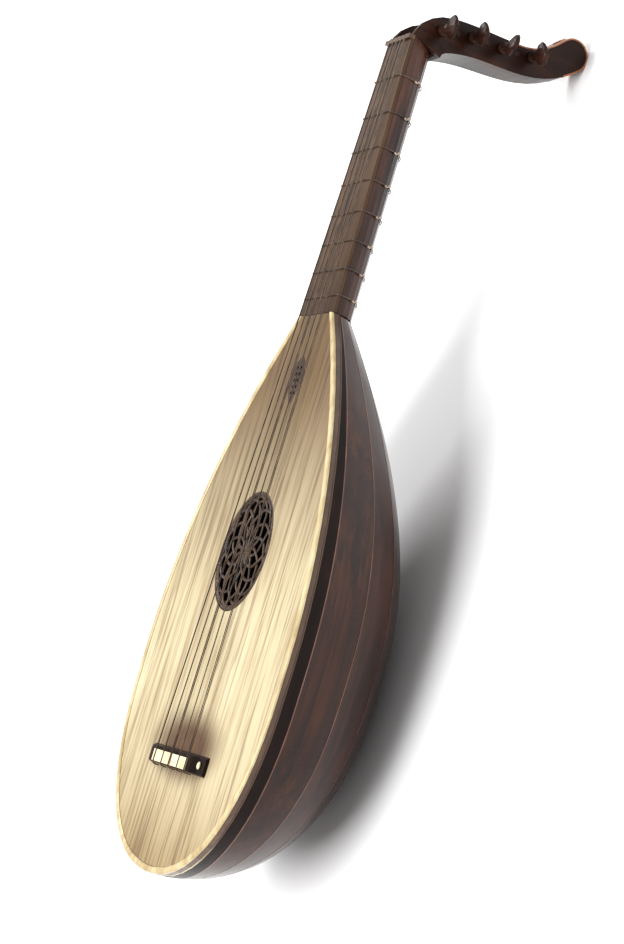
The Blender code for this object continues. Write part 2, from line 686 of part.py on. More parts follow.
def build_pegs():
    """Seven friction pegs: a tapered shaft through both cheeks, a neck and a flat blade head."""
    for k, (y, z) in enumerate(PEG_AXES):
        side = peg_side(k)
        half = pegbox_half_width(0.15 + 0.1 * k)
        face = half + 1.5 * MM
        w, t = PEG_BLADE_HALF_WIDTH, PEG_BLADE_HALF_THICKNESS
        sections = [(-half - 1.0 * MM, 1.0, 1.0), (face + 0.5 * MM, 1.0, 1.0)]
        sections = [(x, peg_radius(0, x), peg_radius(0, x)) for x, _, _ in sections]
        root = sections[-1][1]
        sections += [(face + 1.2 * MM, root + 1.8 * MM, root + 1.8 * MM),
                     (face + 3.0 * MM, root + 1.8 * MM, root + 1.8 * MM),
                     (face + 4.2 * MM, root, root * 0.95),
                     (face + PEG_NECK, 1.3 * root, 0.9 * root)]
        for share, wide, thick in ((0.15, 0.62, 0.80), (0.35, 0.90, 0.95), (0.58, 1.0, 1.0), (0.80, 0.86, 0.9),
                                   (0.94, 0.55, 0.7)):
            sections.append((face + PEG_NECK + share * PEG_BLADE, wide * w, thick * t))
        sections.append((face + PEG_NECK + PEG_BLADE, 0.22 * w, 0.5 * t))
        turn = PEG_TURNS[k] * pi / 180
        rings = []
        for x, a, b in sections:
            loop = []
            for j in range(12):
                u, v = a * cos(2 * pi * j / 12), b * sin(2 * pi * j / 12)
                loop.append((side * x, y + u * cos(turn) - v * sin(turn), z + u * sin(turn) + v * cos(turn)))
            rings.append(loop)
        add_mesh(f"peg_{k + 1}", [loft(rings)], "ebony", (0, y, z))


BRIDGE_FRONT = NECK_LENGTH - STRING_LENGTH
BRIDGE_BACK = BRIDGE_FRONT - BRIDGE_WIDTH
STRING_AT_BRIDGE = GAP + BRIDGE_HEIGHT + GAP + 0.4 * PLATE_THICKNESS + GAP + 0.6 * MM
STRING_AT_NUT = FRET_CLEARANCE + 2 * FRET_RADIUS + 0.75 * MM


def list_strings():
    """Every string with its place at bridge and nut, its radius and its peg."""
    out = []
    for c, radii in enumerate(COURSES):
        course = c - (len(COURSES) - 1) / 2
        for i, radius in enumerate(radii):
            spread = (2 * i - 1) * PAIR_SPREAD if len(radii) == 2 else 0.0
            number = len(out)
            out.append({"bridge": (course * COURSE_AT_BRIDGE + spread, STRING_AT_BRIDGE),
                        "nut": (course * COURSE_AT_NUT + 0.93 * spread, STRING_AT_NUT), "radius": radius,
                        "peg": PEG_OF_STRING[number] - 1, "x": WINDING_X[number]})
    return out


STRINGS = list_strings()


def build_bridge():
    """Glued bridge, low at its ends, with a slotted bone plate on its tie block and one bone pip."""
    rings = []
    for share in (-1.0, -0.985, -0.8, -0.68, 0.68, 0.8, 0.985, 1.0):
        x = share * BRIDGE_HALF_LENGTH
        flat = abs(share) < 0.7
        h = GAP + (BRIDGE_HEIGHT if flat else BRIDGE_END_HEIGHT if abs(share) < 0.9 else 0.75 * BRIDGE_END_HEIGHT)
        trim = 2.5 * MM if abs(share) == 1.0 else 0.0
        rings.append([(x, BRIDGE_BACK + trim, GAP), (x, BRIDGE_FRONT - trim, GAP),
                      (x, BRIDGE_FRONT - trim - 2 * MM, h), (x, BRIDGE_BACK + trim + 1 * MM, h)])
    add_mesh("bridge", [loft(rings)], "ebony")
    low = GAP + BRIDGE_HEIGHT + GAP
    top = low + PLATE_THICKNESS
    profile = [(PLATE_LEFT, low), (PLATE_LEFT, top - 0.5 * MM), (PLATE_LEFT + 0.5 * MM, top)]
    for x, radii in [(c - 2, r) for c, r in enumerate(COURSES)][:4]:
        centre = x * COURSE_AT_BRIDGE
        reach = radii[0] + GAP + (PAIR_SPREAD if len(radii) == 2 else 0.6 * MM)
        floor = low + 0.4 * PLATE_THICKNESS
        profile += [(centre - reach, top), (centre - reach, floor), (centre + reach, floor), (centre + reach, top)]
    profile += [(PLATE_RIGHT - 0.5 * MM, top), (PLATE_RIGHT, top - 0.5 * MM), (PLATE_RIGHT, low)]
    back = BRIDGE_BACK + 1.6 * MM
    add_mesh("bridge_plate", [loft([[(x, y, z) for x, z in profile] for y in (back, back + PLATE_WIDTH)])], "bone")
    base = GAP + BRIDGE_END_HEIGHT + GAP
    centre = (BRIDGE_BACK + BRIDGE_FRONT) / 2
    rings = []
    for z, r in ((base, 1.0), (base + 0.8 * MM, 1.0), (base + 1.6 * MM, 0.6)):
        rings.append([(PIP_X + PIP_RADIUS * r * cos(a), centre + 1.4 * PIP_RADIUS * r * sin(a), z)
                      for a in [2 * pi * j / 12 for j in range(12)]])
    add_mesh("bridge_pip", [loft(rings)], "bone")


def build_strings():
    """Seven strings from the bridge over the nut to their pegs, and the turns wound on each peg."""
    nut_front = NECK_LENGTH + NUT_THICKNESS / 2
    nut_back = NECK_LENGTH - NUT_THICKNESS / 2
    least = 1.0
    for number, s in enumerate(STRINGS):
        radius = s["radius"]
        k = s["peg"]
        py, pz = PEG_AXES[k]
        shaft = peg_radius(k, s["x"])
        coil = shaft + GAP + radius
        lap = coil + 2 * radius + GAP
        bx, bz = s["bridge"]
        nx, nz = s["nut"]
        back = BRIDGE_BACK - radius - GAP
        drop = [(bx, back, 2.4 * MM), (bx, back, 0.6 * bz), (bx, back + 0.5 * MM, bz - 0.7 * MM),
                (bx, back + 1.6 * MM, bz)]
        front = [(bx, BRIDGE_FRONT - 4 * MM, bz)]
        neck = []
        for t in (0.25, 0.5, 0.75):
            neck.append((bx + (nx - bx) * t, BRIDGE_FRONT + (nut_back - BRIDGE_FRONT) * t, bz + (nz - bz) * t))
        start = np.array([nut_front + 0.9 * MM, nz - 0.6 * MM])
        centre = np.array([py, pz])
        away = start - centre
        reach = float(np.linalg.norm(away))
        touch = atan2(away[1], away[0]) + np.arccos(lap / reach)
        bend = [(nx, nut_back, nz), (nx, nut_front, nz), (nx, float(start[0]), float(start[1]))]
        wrap = []
        for i in range(5):
            a = touch + i * 0.3
            wrap.append((s["x"], py + lap * cos(a), pz + lap * sin(a)))
        path = drop + front + neck + bend + wrap
        add_mesh(f"string_{number + 1}", [tube(path, radius)], "gut")
        outward = 1 if s["x"] > 0 else -1
        count = ceil(WINDING_TURNS * 20)
        turns = [(s["x"] + outward * WINDING_PITCH * i / 20, py + coil * cos(touch + 2 * pi * i / 20),
                  pz + coil * sin(touch + 2 * pi * i / 20)) for i in range(count + 1)]
        pts = np.array(turns)
        for i in range(len(pts) - 15):
            least = min(least, float(np.linalg.norm(pts[i + 15:] - pts[i], axis=1).min()) - 2 * radius)
        add_mesh(f"winding_{number + 1}", [tube(turns, radius)], "gut", (0, py, pz))
    print("least gap between the turns of a winding, mm:", round(least * 1000, 2))


def seat_on_floor():
    """Tilt the lute until bowl and pegbox rest on the floor together, and centre it over the origin."""
    bowl, head, everything = [], [], []
    for obj in bpy.data.objects:
        if obj.type != "MESH" or obj.hide_render:
            continue
        points = [obj.location + v.co for v in obj.data.vertices]
        everything += points
        if obj.name.startswith("rib_"):
            bowl += points
        if obj.name.startswith("pegbox"):
            head += points

    def lowest(points, tilt):
        return min(p.y * sin(tilt) + p.z * cos(tilt) for p in points)
    low, high = 0.0, 0.3
    for _ in range(50):
        tilt = (low + high) / 2
        if lowest(head, tilt) < lowest(bowl, tilt):
            low = tilt
        else:
            high = tilt
    ys = [p.y * cos(tilt) - p.z * sin(tilt) for p in everything]
    xs = [p.x for p in everything]
    frame.rotation_euler = (tilt, 0, 0)
    frame.location = (-(min(xs) + max(xs)) / 2, -(min(ys) + max(ys)) / 2, -lowest(everything, tilt))
    print("rest tilt in degrees:", round(degrees(tilt), 3), "moved by, mm:", [round(v * 1000, 2) for v in frame.location])


build_ribs()
build_rim()
build_blocks()
build_board()
build_neck()
build_frets()
build_pegbox()
build_pegs()
build_bridge()
build_strings()
seat_on_floor()
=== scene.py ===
"""Old long-necked lute, dressed: woods, gut, bone, the interlaced rose, the tied strings and the studio."""
import bpy
import json
import numpy as np
from math import atan2, cos, pi, radians, sin, sqrt
from mathutils import Matrix, Vector


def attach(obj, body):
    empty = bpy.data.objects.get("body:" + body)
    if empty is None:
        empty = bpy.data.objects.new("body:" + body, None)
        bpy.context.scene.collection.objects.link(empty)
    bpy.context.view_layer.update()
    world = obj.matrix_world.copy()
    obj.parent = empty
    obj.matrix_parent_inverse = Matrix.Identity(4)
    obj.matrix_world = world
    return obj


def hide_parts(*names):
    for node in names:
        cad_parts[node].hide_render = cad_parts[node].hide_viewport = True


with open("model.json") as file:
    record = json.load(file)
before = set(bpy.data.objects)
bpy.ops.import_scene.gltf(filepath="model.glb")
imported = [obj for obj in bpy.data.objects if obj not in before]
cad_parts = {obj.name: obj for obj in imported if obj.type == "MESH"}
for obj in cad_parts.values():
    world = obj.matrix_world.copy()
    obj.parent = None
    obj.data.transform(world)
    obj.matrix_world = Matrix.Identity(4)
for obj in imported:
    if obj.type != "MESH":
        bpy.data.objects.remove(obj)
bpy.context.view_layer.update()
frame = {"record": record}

# The lute lies tilted on its bowl and the tip of its pegbox. The soundboard normal gives the tilt, and the
# soundboard_face mount, 425 mm from the joint on the board's axis, gives the shift.
mount = next(m for m in frame["record"]["mounts"] if m["name"] == "soundboard_face")
NORMAL = Vector(mount["axis"])
TILT = atan2(-NORMAL.y, NORMAL.z)
TURN = Matrix.Rotation(TILT, 3, "X")
ORIGIN = Vector(mount["pos_m"]) - TURN @ Vector((0, -0.425, 0))
MM = 0.001


def place(points):
    """World positions of points given in the lute's own frame, in metres."""
    return [TURN @ Vector(p) + ORIGIN for p in points]


def surface(name, grid, closed_u=False, closed_v=False, caps=False, smooth=True):
    """Mesh of a numpy grid of points, shape (rows, columns, 3), given in the lute's own frame."""
    rows, columns = grid.shape[:2]
    points = place(grid.reshape(-1, 3))
    faces = []
    for i in range(rows if closed_u else rows - 1):
        for j in range(columns if closed_v else columns - 1):
            a, b = (i + 1) % rows, (j + 1) % columns
            faces.append((i * columns + j, i * columns + b, a * columns + b, a * columns + j))
    if caps:
        faces.append(tuple(range(columns))[::-1])
        faces.append(tuple(range((rows - 1) * columns, rows * columns)))
    mesh = bpy.data.meshes.new(name)
    mesh.from_pydata(points, [], faces)
    mesh.update()
    if smooth:
        mesh.shade_smooth()
        mesh.set_sharp_from_angle(angle=0.7)
    obj = bpy.data.objects.new(name, mesh)
    bpy.context.scene.collection.objects.link(obj)
    return obj


def tube_grid(path, radius, sides=10):
    """Rings of a round tube: p(s) + radius (cos a U(s) + sin a V(s)), U and V carried along the path."""
    pts = np.array(path, float)
    t = np.gradient(pts, axis=0)
    t /= np.linalg.norm(t, axis=1)[:, None]
    u = np.cross(t[0], (0.31, 0.17, 0.93))
    rings = []
    for p, d in zip(pts, t):
        u = u - d * u.dot(d)
        u /= np.linalg.norm(u)
        v = np.cross(d, u)
        a = 2 * pi * np.arange(sides) / sides
        rings.append(p + radius * (np.outer(np.cos(a), u) + np.outer(np.sin(a), v)))
    return np.array(rings)


# Camera: fitted to the nut, frets, joint, rose, bridge and outline in the photograph. It looks across the
# lute from its +X side and a little above, rolled so that the neck points up in the picture.
camera_data = bpy.data.cameras.new("camera")
camera_data.sensor_fit = "VERTICAL"
camera_data.sensor_height = 36
camera_data.lens = 96.84
camera_data.clip_end = 20
camera = bpy.data.objects.new("camera", camera_data)
bpy.context.scene.collection.objects.link(camera)
right = TURN @ Vector((0.3932, 0.2882, -0.8731))
forward = TURN @ Vector((-0.9194, 0.1212, -0.3741))
up = right.cross(forward).normalized()
axes = Matrix((forward.cross(up), up, -forward)).transposed()
camera.matrix_world = Matrix.Translation(place([(1.9074, -0.3750, 0.7392)])[0]) @ axes.to_4x4()
bpy.context.scene.camera = camera

# Studio: a pale floor under the lute, a large soft light above the tail and a weak fill from the neck
# side, as the soft shadow beside the bowl in the photograph shows.
floor_mesh = bpy.data.meshes.new("floor")
floor_mesh.from_pydata([(-6, -6, 0), (6, -6, 0), (6, 6, 0), (-6, 6, 0)], [], [(0, 1, 2, 3)])
floor = bpy.data.objects.new("floor", floor_mesh)
bpy.context.scene.collection.objects.link(floor)
floor_material = bpy.data.materials.new("pale_floor")
floor_material.use_nodes = True
floor_material.node_tree.nodes["Principled BSDF"].inputs["Base Color"].default_value = (0.93, 0.93, 0.93, 1)
floor_material.node_tree.nodes["Principled BSDF"].inputs["Roughness"].default_value = 0.85
floor_mesh.materials.append(floor_material)
world = bpy.data.worlds.new("studio")
world.use_nodes = True
world.node_tree.nodes["Background"].inputs["Color"].default_value = (1, 1, 1, 1)
world.node_tree.nodes["Background"].inputs["Strength"].default_value = 0.5
bpy.context.scene.world = world
bpy.context.scene.view_settings.view_transform = "Standard"


def area_light(name, location, target, size, power):
    """A soft square light at a place, turned to a target."""
    data = bpy.data.lights.new(name, "AREA")
    data.size = size
    data.energy = power
    light = bpy.data.objects.new(name, data)
    bpy.context.scene.collection.objects.link(light)
    light.location = location
    light.rotation_euler = (Vector(target) - Vector(location)).to_track_quat("-Z", "Y").to_euler()


area_light("key_light", (0.9, -1.4, 3.4), (0, 0, 0), 2.2, 165)
area_light("fill_light", (-2.0, 1.6, 2.8), (-0.6, 0.2, 0), 2.0, 95)


# Materials: every wood is fibres of stretched noise under a broad slow colour change, read in the lute's
# own axes, with grain in its roughness and bump. Wear lightens or darkens patches.
def new_material(name):
    """A material with its node tree, its Principled shader and a short way to add and link nodes."""
    made = bpy.data.materials.new(name)
    made.use_nodes = True
    tree = made.node_tree

    def add(kind, **values):
        node = tree.nodes.new(kind)
        for key, value in values.items():
            if isinstance(value, tuple) or key not in dir(node):
                node.inputs[key.replace("_", " ")].default_value = value
            else:
                setattr(node, key, value)
        return node

    def link(a, b):
        tree.links.new(a, b)
    return made, tree.nodes["Principled BSDF"], add, link


def lute_axes(add, link, scale):
    """Object coordinates turned into the lute's own axes and scaled, for patterns that follow the grain."""
    coordinates = add("ShaderNodeTexCoord")
    turn = add("ShaderNodeMapping")
    turn.inputs["Rotation"].default_value = (-TILT, 0, 0)
    stretch = add("ShaderNodeMapping")
    stretch.inputs["Scale"].default_value = scale
    link(coordinates.outputs["Object"], turn.inputs["Vector"])
    link(turn.outputs["Vector"], stretch.inputs["Vector"])
    return turn.outputs["Vector"], stretch.outputs["Vector"]


def ramp(add, stops):
    """A colour ramp with its stops as (place, colour)."""
    node = add("ShaderNodeValToRGB")
    while len(node.color_ramp.elements) < len(stops):
        node.color_ramp.elements.new(0.5)
    for element, (at, colour) in zip(node.color_ramp.elements, stops):
        element.position = at
        element.color = (*colour, 1)
    return node


def wood(name, stops, scale, fineness, patch, rough, coat=0.0, bump=0.0002, streak=None, shine=0.3):
    """Wood: colour from fibres and slow patches, roughness and bump from the fibres."""
    made, shader, add, link = new_material(name)
    plain, grain = lute_axes(add, link, scale)
    fibres = add("ShaderNodeTexNoise")
    fibres.inputs["Scale"].default_value = fineness
    fibres.inputs["Detail"].default_value = 8
    fibres.inputs["Roughness"].default_value = 0.62
    link(grain, fibres.inputs["Vector"])
    patches = add("ShaderNodeTexNoise")
    patches.inputs["Scale"].default_value = patch
    patches.inputs["Detail"].default_value = 4
    link(plain, patches.inputs["Vector"])
    mixed = add("ShaderNodeMath")
    mixed.operation = "MULTIPLY_ADD"
    mixed.inputs[1].default_value = 0.55
    link(patches.outputs["Fac"], mixed.inputs[0])
    link(fibres.outputs["Fac"], mixed.inputs[2])
    shifted = add("ShaderNodeMath")
    shifted.operation = "SUBTRACT"
    shifted.inputs[1].default_value = 0.27
    link(mixed.outputs["Value"], shifted.inputs[0])
    colours = ramp(add, stops)
    link(shifted.outputs["Value"], colours.inputs["Fac"])
    colour = colours.outputs["Color"]
    if streak:
        lines = add("ShaderNodeTexNoise")
        lines.inputs["Scale"].default_value = fineness * 1.25
        lines.inputs["Detail"].default_value = 3
        link(grain, lines.inputs["Vector"])
        cut = ramp(add, [(0.545, (0, 0, 0)), (0.63, (1, 1, 1))])
        link(lines.outputs["Fac"], cut.inputs["Fac"])
        mix = add("ShaderNodeMix")
        mix.data_type = "RGBA"
        mix.inputs[7].default_value = (*streak, 1)
        share = add("ShaderNodeMath")
        share.operation = "MULTIPLY"
        share.inputs[1].default_value = 0.75
        link(cut.outputs["Color"], share.inputs[0])
        link(share.outputs["Value"], mix.inputs[0])
        link(colour, mix.inputs[6])
        colour = mix.outputs[2]
    link(colour, shader.inputs["Base Color"])
    gloss = add("ShaderNodeMapRange")
    gloss.inputs["To Min"].default_value = rough * 0.75
    gloss.inputs["To Max"].default_value = rough * 1.25
    link(patches.outputs["Fac"], gloss.inputs["Value"])
    link(gloss.outputs["Result"], shader.inputs["Roughness"])
    height = add("ShaderNodeBump")
    height.inputs["Distance"].default_value = bump
    height.inputs["Strength"].default_value = 0.6
    link(fibres.outputs["Fac"], height.inputs["Height"])
    link(height.outputs["Normal"], shader.inputs["Normal"])
    shader.inputs["Specular IOR Level"].default_value = shine
    shader.inputs["Coat Weight"].default_value = coat
    shader.inputs["Coat Roughness"].default_value = 0.12
    return made, colour, add, link, shader, plain


def along(add, link, plain, low, high):
    """0 to 1 along the lute's length between two places, in the turned world axes."""
    parts = add("ShaderNodeSeparateXYZ")
    link(plain, parts.inputs["Vector"])
    span = add("ShaderNodeMapRange")
    span.interpolation_type = "SMOOTHSTEP"
    back = (Matrix.Rotation(-TILT, 3, "X") @ ORIGIN).y
    span.inputs["From Min"].default_value = low + back
    span.inputs["From Max"].default_value = high + back
    link(parts.outputs["Y"], span.inputs["Value"])
    return span.outputs["Result"]


def tint(add, link, colour, factor, target):
    """Multiply a colour towards a darker, browner one by a factor."""
    mix = add("ShaderNodeMix")
    mix.data_type = "RGBA"
    mix.blend_type = "MULTIPLY"
    mix.inputs[7].default_value = (*target, 1)
    link(factor, mix.inputs[0])
    link(colour, mix.inputs[6])
    return mix.outputs[2]


def soundboard_material():
    """Old spruce: straight fine grain, browner towards the neck and a little towards the tail, with a painted shadow
    round the bridge.
    """
    stops = [(0.18, (0.22, 0.14, 0.06)), (0.36, (0.38, 0.29, 0.16)), (0.52, (0.54, 0.45, 0.275)),
             (0.75, (0.66, 0.57, 0.38))]
    made, colour, add, link, shader, plain = wood("old_spruce", stops, (1.0, 0.035, 0.6), 210, 7, 0.42, 0.15,
                                                  0.0001, (0.26, 0.18, 0.095))
    colour = tint(add, link, colour, along(add, link, plain, -0.27, -0.04), (0.27, 0.19, 0.12))
    colour = tint(add, link, colour, along(add, link, plain, -0.36, -0.47), (0.60, 0.52, 0.42))
    # Painted shadow: a soft dark patch round the bridge stands in for the shade the bridge casts on the board.
    near = add("ShaderNodeMapping")
    near.vector_type = "TEXTURE"
    near.inputs["Location"].default_value = Matrix.Rotation(-TILT, 3, "X") @ ORIGIN + Vector((0.004, -0.366, 0))
    near.inputs["Scale"].default_value = (0.085, 0.034, 1.0)
    link(plain, near.inputs["Vector"])
    away = add("ShaderNodeVectorMath")
    away.operation = "LENGTH"
    link(near.outputs["Vector"], away.inputs[0])
    painted_bridge_shadow = add("ShaderNodeMapRange")
    painted_bridge_shadow.interpolation_type = "SMOOTHSTEP"
    painted_bridge_shadow.inputs["From Min"].default_value = 1.15
    painted_bridge_shadow.inputs["From Max"].default_value = 0.35
    link(away.outputs["Value"], painted_bridge_shadow.inputs["Value"])
    colour = tint(add, link, colour, painted_bridge_shadow.outputs["Result"], (0.20, 0.12, 0.08))
    link(colour, shader.inputs["Base Color"])
    return made


def pale_line_material():
    """The line under the edge: pale round the tail, darker along the sides."""
    made, colour, add, link, shader, plain = wood("pale_line_wood", [(0.2, (0.42, 0.29, 0.13)),
                                                  (0.5, (0.66, 0.53, 0.30)), (0.85, (0.85, 0.77, 0.53))],
                                                  (1.0, 0.25, 1.0), 120, 22, 0.35, 0.25)
    colour = tint(add, link, colour, along(add, link, plain, -0.462, -0.425), (0.09, 0.045, 0.025))
    link(colour, shader.inputs["Base Color"])
    return made


spruce = soundboard_material()
dark_rib = wood("dark_rib_wood", [(0.2, (0.010, 0.004, 0.002)), (0.5, (0.03, 0.010, 0.006)),
                                  (0.8, (0.11, 0.036, 0.020))], (1.0, 0.05, 1.0), 95, 9, 0.24, 0.15,
                0.00008, (0.01, 0.004, 0.003), 0.2)[0]
rib_tones = []
for tone in range(3):
    lift = 1.0 + 0.35 * tone
    stops = [(0.2, (0.006 * lift, 0.0018 * lift, 0.0013)), (0.5, (0.018 * lift, 0.0048 * lift, 0.0032)),
             (0.8, (0.046 * lift, 0.0125 * lift, 0.008))]
    rib_tones.append(wood(f"rib_wood_{tone}", stops, (1.0, 0.05, 1.0), 80 + 12 * tone, 8 + tone, 0.22, 0.12,
                          0.00008, (0.01, 0.004, 0.003), 0.22)[0])
black_wood = wood("black_wood", [(0.25, (0.004, 0.002, 0.001)), (0.6, (0.010, 0.004, 0.003)),
                                 (0.85, (0.03, 0.012, 0.007))], (1.0, 0.08, 1.0), 120, 14, 0.34, 0.0, shine=0.1)[0]
peg_wood = wood("peg_wood", [(0.25, (0.008, 0.003, 0.002)), (0.6, (0.03, 0.010, 0.006)),
                             (0.85, (0.055, 0.018, 0.009))], (0.12, 1.0, 1.0), 160, 30, 0.34, 0.0, shine=0.14)[0]
pegbox_wood = wood("pegbox_wood", [(0.2, (0.006, 0.002, 0.001)), (0.55, (0.018, 0.005, 0.002)),
                                   (0.85, (0.06, 0.018, 0.007))], (1.0, 0.6, 0.09), 120, 14, 0.32, 0.0, shine=0.14)[0]
# Orange edge wood: partly wear, partly a painted highlight for the light along the pegbox tip's outline.
worn_and_lit_edge = wood("worn_edge_wood", [(0.2, (0.12, 0.035, 0.010)), (0.5, (0.32, 0.10, 0.03)),
                                    (0.85, (0.52, 0.20, 0.07))], (1.0, 0.6, 0.09), 150, 20, 0.35, 0.3)[0]
board_wood = wood("fingerboard_wood", [(0.2, (0.028, 0.013, 0.005)), (0.5, (0.062, 0.031, 0.014)),
                                       (0.8, (0.11, 0.058, 0.028))], (1.0, 0.04, 0.6), 160, 11, 0.42, 0.0,
                  0.0001, (0.018, 0.008, 0.003), 0.2)[0]
brown_strip = wood("brown_strip_wood", [(0.2, (0.03, 0.013, 0.006)), (0.5, (0.07, 0.032, 0.014)),
                                        (0.85, (0.15, 0.08, 0.038))], (1.0, 0.15, 1.0), 150, 20, 0.35, 0.3)[0]
cream = wood("cream_inlay_wood", [(0.2, (0.30, 0.20, 0.08)), (0.5, (0.54, 0.42, 0.22)),
                                  (0.85, (0.78, 0.69, 0.44))], (1.0, 0.25, 1.0), 120, 22, 0.35, 0.25)[0]
rose_wood = wood("rose_wood", [(0.2, (0.012, 0.006, 0.003)), (0.5, (0.042, 0.022, 0.012)),
                               (0.85, (0.11, 0.065, 0.036))], (1.0, 0.3, 1.0), 220, 40, 0.5, 0.1)[0]
raw_wood = wood("raw_wood", [(0.2, (0.33, 0.21, 0.10)), (0.5, (0.5, 0.36, 0.2)), (0.85, (0.62, 0.48, 0.3))],
                (1.0, 0.05, 1.0), 120, 12, 0.7)[0]
bone = wood("bone", [(0.15, (0.45, 0.32, 0.16)), (0.45, (0.75, 0.62, 0.38)), (0.85, (0.88, 0.80, 0.60))],
            (0.4, 1.0, 1.0), 170, 60, 0.32, 0.3)[0]


def gut_material():
    """Twisted gut: a fine slanted wave for the lay of the strands, dark and slightly see-through brown."""
    made, shader, add, link = new_material("gut")
    plain, grain = lute_axes(add, link, (1.0, 1.0, 1.0))
    lay = add("ShaderNodeTexWave")
    lay.inputs["Scale"].default_value = 260
    lay.inputs["Distortion"].default_value = 2.0
    link(grain, lay.inputs["Vector"])
    spots = add("ShaderNodeTexNoise")
    spots.inputs["Scale"].default_value = 90
    link(plain, spots.inputs["Vector"])
    colours = ramp(add, [(0.3, (0.02, 0.011, 0.006)), (0.5, (0.05, 0.028, 0.014)), (0.7, (0.12, 0.07, 0.035))])
    link(spots.outputs["Fac"], colours.inputs["Fac"])
    link(colours.outputs["Color"], shader.inputs["Base Color"])
    height = add("ShaderNodeBump")
    height.inputs["Distance"].default_value = 0.00002
    link(lay.outputs["Fac"], height.inputs["Height"])
    link(height.outputs["Normal"], shader.inputs["Normal"])
    shader.inputs["Roughness"].default_value = 0.4
    return made


gut = gut_material()


def dress(material, *names):
    """Give CAD nodes a material."""
    for name in names:
        node = bpy.data.objects[name]
        node.data.materials.clear()
        node.data.materials.append(material)


# Body: blocks and braces inside, the soundboard with its cream binding, brown strip and pale line. The ribs
# and the band above them come below as smooth surfaces.
dress(black_wood, "bridge")
dress(raw_wood, "neck_block", "tail_block", "brace_1", "brace_2", "brace_3")
dress(spruce, "soundboard")
dress(cream, "edge_binding")
dress(pale_line_material(), "edge_line")
dress(brown_strip, "edge_strip")

# Neck and bridge: dark neck, brown fingerboard, worn nut, bone plate and pip, gut frets and strings.
dress(dark_rib, "neck")
dress(board_wood, "fingerboard")
dress(brown_strip, "nut")
dress(bone, "bridge_plate", "bridge_pip")
for k in range(1, 9):
    dress(gut, f"fret_{k}")
for k in range(1, 8):
    dress(gut, f"string_{k}", f"winding_{k}")
    dress(peg_wood, f"peg_{k}")
dress(pegbox_wood, "pegbox_cheek_left", "pegbox_cheek_right", "pegbox_back", "pegbox_end_block")
dress(rose_wood, "leaf_rose")


# Rib joints: the thin brown spacer strip in each joint of the ribs and along the band's lower edge, from
# the neck to the place near the tail where the band covers the ribs' ends.
def bezier(p0, p1, p2, p3, samples=200):
    """Cubic Bezier: (1-t)^3 p0 + 3t(1-t)^2 p1 + 3t^2(1-t) p2 + t^3 p3."""
    t = np.linspace(0, 1, samples)[:, None]
    p0, p1, p2, p3 = (np.array(p) for p in (p0, p1, p2, p3))
    return (1 - t) ** 3 * p0 + 3 * t * (1 - t) ** 2 * p1 + 3 * t * t * (1 - t) * p2 + t ** 3 * p3


def pear(s, shoulder, top, top_at, length=0.470, power=2.2):
    """Half a pear outline at s from the joint: the shoulder curve, then top (1 - u^2.2)^(1/2.2)."""
    reach = min(max((s - top_at) / (length - top_at), 0.0), 1.0)
    if s <= top_at:
        return float(np.interp(s, shoulder[:, 0], shoulder[:, 1]))
    return top * (1 - reach ** power) ** (1 / power)


plan = bezier((0, 0.0345), (0.1532, 0.1677), (0.282, 0.154), (0.310, 0.154))
side = bezier((0, 0.028), (0.1654, 0.1404), (0.231, 0.133), (0.285, 0.133))


def bowl_point(s, angle):
    """(w cos a, -s, -d sin a): a point of the bowl's half-elliptic section at s from the joint."""
    return np.array([pear(s, plan, 0.154, 0.310) * cos(angle), -s, -pear(s, side, 0.133, 0.285) * sin(angle)])


def bowl_normal(s, angle):
    """Outward normal: the cross product of the surface's slopes along s and along the angle."""
    step = 1e-5
    a = bowl_point(s + step, angle) - bowl_point(s - step, angle)
    b = bowl_point(s, angle + step) - bowl_point(s, angle - step)
    n = np.cross(a, b)
    n /= np.linalg.norm(n)
    return n if n[2] < 0 else -n


def edge_angle(s):
    """Angle e of the band's lower edge: sin e = band height / depth, the height rising from 8 to 17.5 mm."""
    height = 0.008 + 0.0095 * sin(pi / 2 * min(1, s / 0.250))
    return np.arcsin(min(0.8134, height / pear(s, side, 0.133, 0.285)))


def shell(places, limits, flat, across=9, wall=2.0 * MM):
    """Closed shell of the bowl between two angles at each place.

    Outer points p(a) drawn a share flat towards the chord between the limits; inner points one wall along
    the normal behind them.
    """
    rows = []
    for s in places:
        low, high = limits(s)
        a, b = bowl_point(s, low), bowl_point(s, high)
        outer, inner = [], []
        for t in np.linspace(0, 1, across):
            angle = low + t * (high - low)
            q = bowl_point(s, angle)
            q = q + flat * (a + t * (b - a) - q)
            outer.append(q)
            inner.append(q - wall * bowl_normal(s, angle))
        rows.append(outer + inner[::-1])
    return np.array(rows)


BAND_END = 0.46846
places = 0.0003 + (BAND_END - 0.0003) * np.sin(np.linspace(0, pi / 2, 110))
for k in range(9):
    def rib_limits(s, k=k):
        e = edge_angle(s)
        return e + k * (pi - 2 * e) / 9, e + (k + 1) * (pi - 2 * e) / 9
    rib = surface(f"bent_rib_{k + 1}", shell(places, rib_limits, 0.5), closed_v=True, caps=True)
    rib.data.materials.append(rib_tones[(2 * k + 2) % 3])
    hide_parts(f"rib_{k + 1}")
    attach(rib, "lute")


def top_angle(s):
    """Angle of the band's upper edge, 7 mm under the soundboard's face."""
    return np.arcsin(min(1.0, 0.0070 / pear(s, side, 0.133, 0.285)))


tail_end = 0.46985
tail_places = tail_end - (tail_end - BAND_END) * np.linspace(1, 0, 40) ** 2
band_parts = [surface("band_right", shell(places, lambda s: (top_angle(s), edge_angle(s)), 0.0, 6),
                      closed_v=True, caps=True),
              surface("band_left", shell(places, lambda s: (pi - edge_angle(s), pi - top_angle(s)), 0.0, 6),
                      closed_v=True, caps=True),
              surface("band_tail", shell(tail_places, lambda s: (top_angle(s), pi - top_angle(s)), 0.0, 49),
                      closed_v=True, caps=True)]
for part in band_parts:
    part.data.materials.append(black_wood)
    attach(part, "lute")
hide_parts("rim_band")


